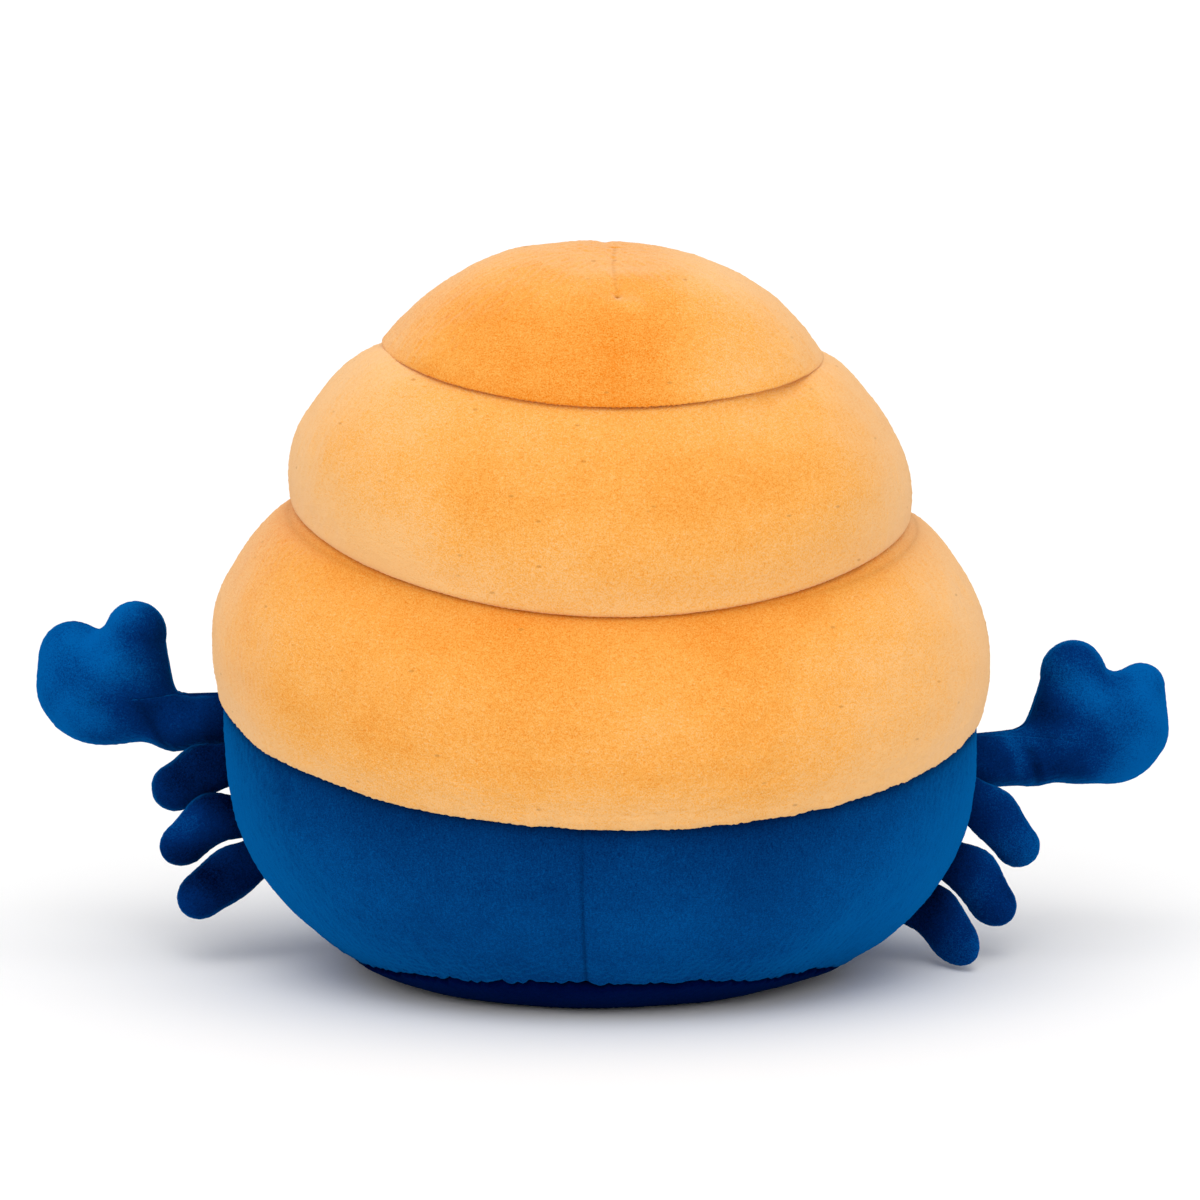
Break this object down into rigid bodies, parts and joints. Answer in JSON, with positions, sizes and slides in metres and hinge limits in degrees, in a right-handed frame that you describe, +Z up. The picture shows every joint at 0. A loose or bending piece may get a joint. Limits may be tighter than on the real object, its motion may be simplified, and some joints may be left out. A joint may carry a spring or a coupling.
{
  "type": "plush hermit crab",
  "caption": "Stuffed plush hermit crab with a three-tier rolled shell on a round body, raised claws and short legs at its sides, and a flat base to sit on.",
  "frame": {"origin": "on the surface it sits on, at the middle of the base's flat patch", "axes": "+Z up, +Y the way the face looks, +X from the middle towards the right-hand claw as seen from behind"},
  "size_m": [0.3033, 0.1786, 0.1896],
  "materials": {
    "orange_plush": "short velvety pile",
    "blue_plush": "short velvety pile",
    "base_plush": "short velvety pile, darker dye",
    "black_thread": "satin stitch embroidery"
  },
  "bodies": {
    "root": {"shell_cap": "orange_plush", "shell_middle_tier": "orange_plush", "shell_lower_tier": "orange_plush", "body": "blue_plush", "base_panel": "base_plush", "claw_left": "blue_plush", "claw_right": "blue_plush", "leg_left_front": "blue_plush", "leg_left_middle": "blue_plush", "leg_left_rear": "blue_plush", "leg_right_front": "blue_plush", "leg_right_middle": "blue_plush", "leg_right_rear": "blue_plush", "eye_left": "black_thread", "eye_right": "black_thread", "mouth": "black_thread"}
  },
  "joints": []
}
